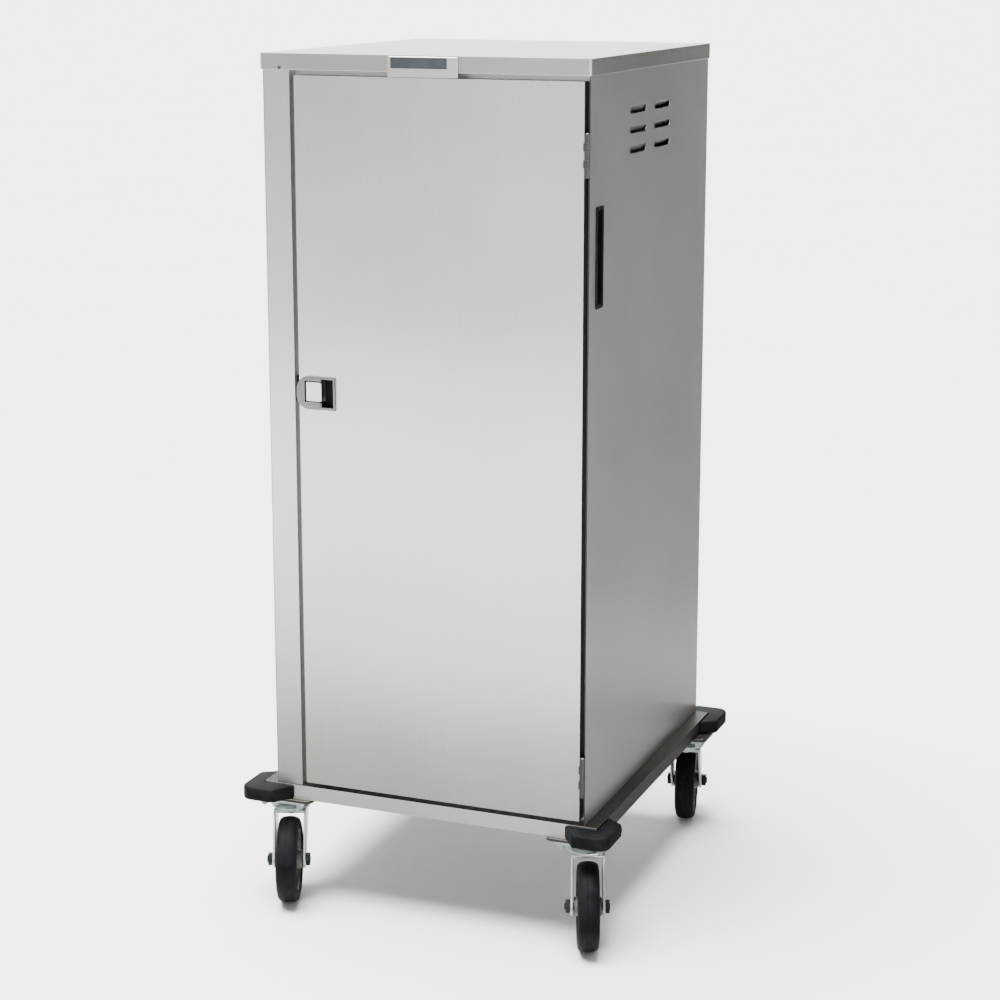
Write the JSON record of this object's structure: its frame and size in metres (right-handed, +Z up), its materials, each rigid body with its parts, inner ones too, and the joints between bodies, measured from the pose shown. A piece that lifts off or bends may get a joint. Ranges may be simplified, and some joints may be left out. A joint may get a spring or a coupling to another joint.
{
  "type": "enclosed meal tray cart",
  "caption": "Tall single-door stainless steel cart with ledges for meal trays, side hand grips, louvred vents, a base frame with rubber corner bumpers and swivel casters.",
  "frame": {"origin": "centre of the bounding box at floor level", "axes": "+Z up, -Y the door side, +X to the right of someone facing the door"},
  "size_m": [0.688, 0.8006, 1.5],
  "materials": {
    "brushed_steel": "brushed, satin, fine vertical grain",
    "inner_steel": "mill finish, satin",
    "frame_steel": "satin, slightly duller",
    "polished_steel": "polished",
    "zinc": "bright zinc plate",
    "rubber": "moulded, matte",
    "tread": "moulded, matte",
    "wheel_hub": "moulded, satin",
    "black_plastic": "moulded, satin",
    "grey_strip": "satin"
  },
  "bodies": {
    "cabinet": {"base_frame": "frame_steel", "bumper_front_left": "rubber", "bumper_front_right": "rubber", "bumper_rear_left": "rubber", "bumper_rear_right": "rubber", "right_side_panel": "brushed_steel", "left_side_panel": "brushed_steel", "front_stile": "brushed_steel", "back_panel": "brushed_steel", "floor_pan": "inner_steel", "top_cap": "brushed_steel", "face_frame": "inner_steel", "left_tray_slides": "inner_steel", "right_tray_slides": "inner_steel", "lower_hinge_frame_leaf": "frame_steel", "lower_hinge_pin": "polished_steel", "upper_hinge_frame_leaf": "frame_steel", "upper_hinge_pin": "polished_steel", "latch_keeper": "frame_steel", "right_hand_grip": "black_plastic", "left_hand_grip": "black_plastic", "name_holder": "brushed_steel", "name_strip": "grey_strip", "caster_plate_front_left": "zinc", "caster_plate_front_right": "zinc", "caster_plate_rear_left": "zinc", "caster_plate_rear_right": "zinc"},
    "door": {"door_shell": "brushed_steel", "door_liner": "inner_steel", "door_gasket": "rubber", "lower_hinge_door_leaf": "frame_steel", "upper_hinge_door_leaf": "frame_steel", "latch_bezel": "polished_steel", "latch_paddle_pin": "zinc"},
    "paddle": {"latch_paddle": "polished_steel"},
    "bolt": {"latch_bolt": "zinc"},
    "caster_front_left": {"caster_fork_front_left": "zinc", "caster_axle_front_left": "zinc"},
    "wheel_front_left": {"wheel_hub_front_left": "wheel_hub", "wheel_tyre_front_left": "tread"},
    "caster_front_right": {"caster_fork_front_right": "zinc", "caster_axle_front_right": "zinc"},
    "wheel_front_right": {"wheel_hub_front_right": "wheel_hub", "wheel_tyre_front_right": "tread"},
    "caster_rear_left": {"caster_fork_rear_left": "zinc", "caster_axle_rear_left": "zinc"},
    "wheel_rear_left": {"wheel_hub_rear_left": "wheel_hub", "wheel_tyre_rear_left": "tread"},
    "caster_rear_right": {"caster_fork_rear_right": "zinc", "caster_axle_rear_right": "zinc"},
    "wheel_rear_right": {"wheel_hub_rear_right": "wheel_hub", "wheel_tyre_rear_right": "tread"}
  },
  "joints": [
    {"name": "door_hinge", "type": "hinge", "parent": "cabinet", "child": "door", "pos_m": [0.288, -0.329, 0.827], "axis": [0, 0, 1], "range_deg": [0, 265]},
    {"name": "latch_paddle_pivot", "type": "hinge", "parent": "door", "child": "paddle", "pos_m": [-0.216, -0.3215, 0.932], "axis": [0, 0, -1], "range_deg": [0, 25]},
    {"name": "latch_bolt_slide", "type": "slide", "parent": "door", "child": "bolt", "axis": [1, 0, 0], "range_m": [0, 0.0072], "stiffness_N_per_m": 150},
    {"name": "swivel_front_left", "type": "hinge", "parent": "cabinet", "child": "caster_front_left", "pos_m": [-0.283, -0.286, 0.1725], "axis": [0, 0, 1], "continuous": true},
    {"name": "roll_front_left", "type": "hinge", "parent": "caster_front_left", "child": "wheel_front_left", "pos_m": [-0.26759, -0.32614, 0.0762], "axis": [0.9336, 0.3584, 0], "continuous": true},
    {"name": "swivel_front_right", "type": "hinge", "parent": "cabinet", "child": "caster_front_right", "pos_m": [0.283, -0.286, 0.1725], "axis": [0, 0, 1], "continuous": true},
    {"name": "roll_front_right", "type": "hinge", "parent": "caster_front_right", "child": "wheel_front_right", "pos_m": [0.29841, -0.32614, 0.0762], "axis": [0.9336, 0.3584, 0], "continuous": true},
    {"name": "swivel_rear_left", "type": "hinge", "parent": "cabinet", "child": "caster_rear_left", "pos_m": [-0.283, 0.2828, 0.1725], "axis": [0, 0, 1], "continuous": true},
    {"name": "roll_rear_left", "type": "hinge", "parent": "caster_rear_left", "child": "wheel_rear_left", "pos_m": [-0.29267, 0.3247, 0.0762], "axis": [-0.9744, -0.225, 0], "continuous": true},
    {"name": "swivel_rear_right", "type": "hinge", "parent": "cabinet", "child": "caster_rear_right", "pos_m": [0.283, 0.2828, 0.1725], "axis": [0, 0, 1], "continuous": true},
    {"name": "roll_rear_right", "type": "hinge", "parent": "caster_rear_right", "child": "wheel_rear_right", "pos_m": [0.27333, 0.3247, 0.0762], "axis": [-0.9744, -0.225, 0], "continuous": true}
  ],
  "couplings": [
    {"joint": "latch_paddle_pivot", "follows": "latch_bolt_slide", "rad_per_m": 60.6}
  ]
}
